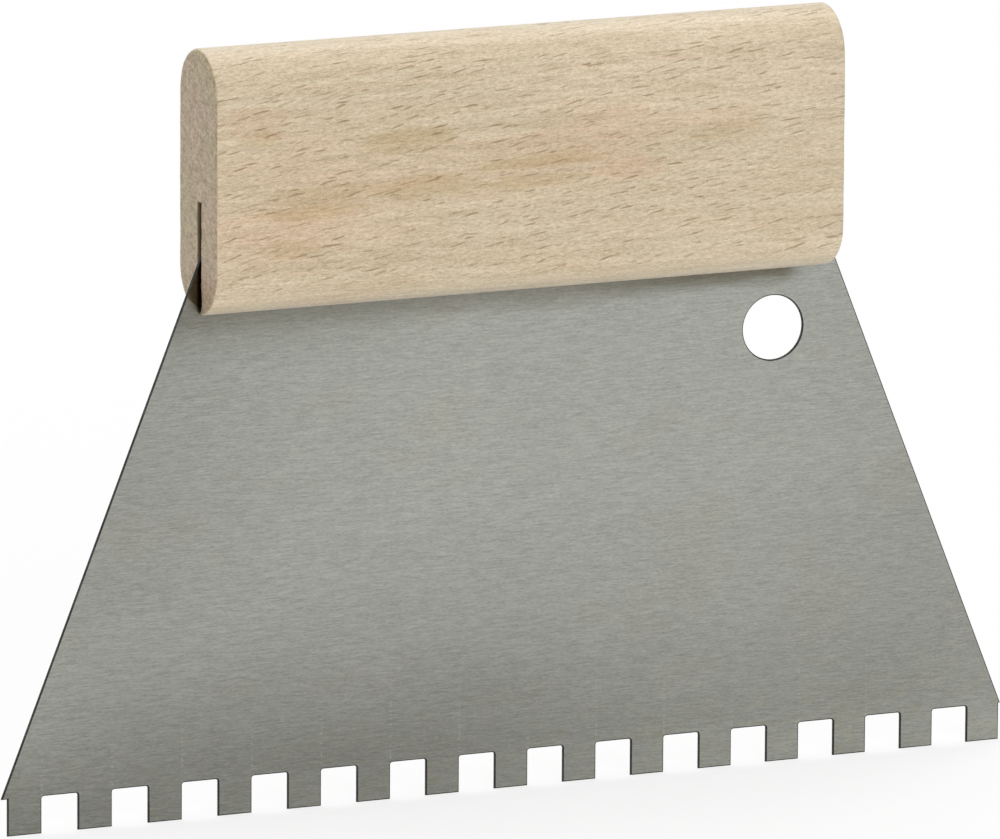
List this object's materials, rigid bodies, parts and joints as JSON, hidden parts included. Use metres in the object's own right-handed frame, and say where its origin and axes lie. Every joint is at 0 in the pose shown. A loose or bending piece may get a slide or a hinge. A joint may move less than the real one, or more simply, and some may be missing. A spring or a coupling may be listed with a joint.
{
  "type": "notched trowel",
  "caption": "Hand-held notched trowel: a trapezoidal sheet-steel blade with square teeth and a hanging hole, nailed into a slotted beech bar handle.",
  "frame": {"origin": "midway along the blade, in the middle of the handle's thickness, at the height of the tooth tips", "axes": "+X along the row of teeth, +Y to the rear, the side the nails are driven from, +Z from the tooth tips up to the handle"},
  "size_m": [0.1752, 0.015, 0.1235],
  "materials": {
    "handle_wood": "plain sanded beech, not varnished",
    "blade_steel": "matt cold-rolled grey, fine streaks along the teeth",
    "nail_steel": "plain bright wire, a little dulled"
  },
  "bodies": {
    "root": {"handle": "handle_wood", "blade": "blade_steel", "nail_left": "nail_steel", "nail_middle": "nail_steel", "nail_right": "nail_steel"}
  },
  "joints": []
}
